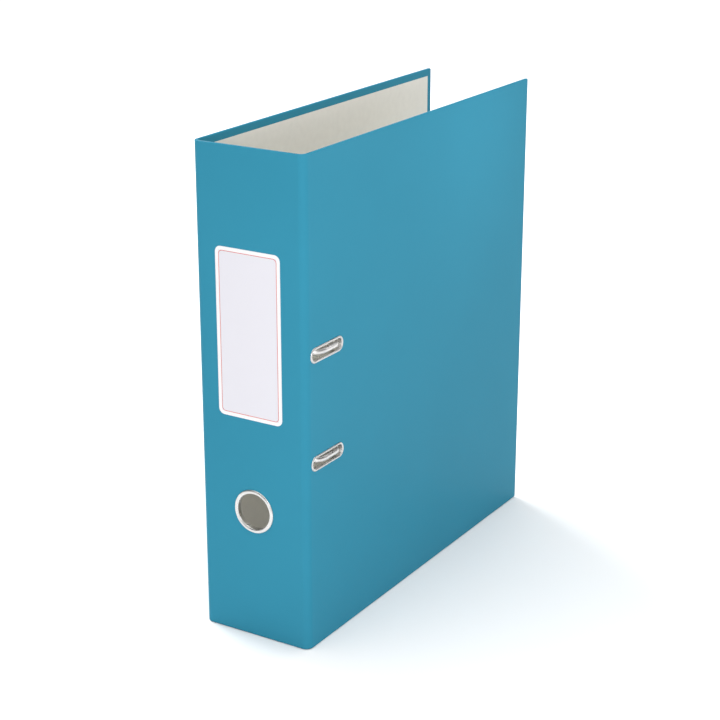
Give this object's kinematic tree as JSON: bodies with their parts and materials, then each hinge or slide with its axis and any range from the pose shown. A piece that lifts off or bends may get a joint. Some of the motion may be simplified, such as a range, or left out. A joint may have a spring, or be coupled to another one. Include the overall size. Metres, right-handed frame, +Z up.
{
  "type": "lever arch file",
  "caption": "Tall rigid document file: two covers hinged to a wide spine with finger ring and label, slotted front cover, and a lifting arch mechanism with lever and compressor bar inside.",
  "frame": {"origin": "centre of the bounding box's bottom face, on the surface the file stands on", "axes": "+Z up along the spine's height; the spine faces -Y and the fore edge +Y; the back cover is at -X and the front cover at +X"},
  "size_m": [0.0818, 0.2859, 0.318],
  "materials": {
    "greyboard": "compressed grey board, seen only at the bottom edges",
    "blue_foil": "fine-grained satin polypropylene foil",
    "lining_paper": "smooth light grey paper",
    "nickel": "bright nickel plate",
    "zinc_plate": "zinc-plated sheet steel",
    "steel_wire": "bright nickel-plated round wire",
    "spring_steel": "blued spring steel",
    "label_card": "coated label paper with a thin red border line",
    "black_plastic": "moulded grip, satin",
    "roller_plastic": "acetal roller"
  },
  "bodies": {
    "back_cover": {"back_board": "greyboard", "back_wrap": "blue_foil", "back_lining": "lining_paper", "base_plate": "zinc_plate", "base_rivets": "nickel", "leaf_spring": "spring_steel", "lever_pivot_pin": "nickel", "post_upper": "steel_wire", "post_lower": "steel_wire"},
    "spine": {"spine_board": "greyboard", "spine_wrap": "blue_foil", "spine_lining": "lining_paper", "finger_ring": "nickel", "finger_ring_washer": "zinc_plate", "spine_label": "label_card", "back_hinge_fold": "blue_foil", "front_hinge_fold": "blue_foil"},
    "front_cover": {"front_board": "greyboard", "front_wrap": "blue_foil", "front_lining": "lining_paper", "slot_eyelet_upper": "nickel", "slot_eyelet_lower": "nickel", "slot_washer_upper": "zinc_plate", "slot_washer_lower": "zinc_plate"},
    "lever": {"lever": "nickel", "lever_grip": "black_plastic", "roller_axle": "nickel"},
    "roller": {"roller": "roller_plastic"},
    "arches": {"arch_wire": "steel_wire"},
    "compressor": {"compressor_bar": "nickel", "compressor_tab": "black_plastic"}
  },
  "joints": [
    {"name": "spine_fold", "type": "hinge", "parent": "back_cover", "child": "spine", "pos_m": [-0.03854, -0.14104, 0], "axis": [0, 0, -1], "range_deg": [0, 90], "deforming": ["back_hinge_fold"]},
    {"name": "front_cover_open", "type": "hinge", "parent": "spine", "child": "front_cover", "pos_m": [0.03854, -0.14104, 0], "axis": [0, 0, -1], "range_deg": [0, 90], "deforming": ["front_hinge_fold"]},
    {"name": "arch_swing", "type": "hinge", "parent": "back_cover", "child": "arches", "pos_m": [-0.034, -0.131, 0], "axis": [0, 0, -1], "range_deg": [0, 80.01]},
    {"name": "lever_lift", "type": "hinge", "parent": "back_cover", "child": "lever", "pos_m": [-0.0282, -0.119, 0.185], "axis": [0, -1, 0], "range_deg": [0, 85.01]},
    {"name": "roller_spin", "type": "hinge", "parent": "lever", "child": "roller", "pos_m": [-0.0282, -0.119, 0.171], "axis": [0, 1, 0], "continuous": true},
    {"name": "compressor_slide", "type": "slide", "parent": "back_cover", "child": "compressor", "axis": [1, 0, 0], "range_m": [0, 0.045]}
  ],
  "couplings": [
    {"joint": "arch_swing", "follows": "spine_fold", "ratio": 0.88889},
    {"joint": "lever_lift", "follows": "spine_fold", "ratio": 0.94444}
  ]
}
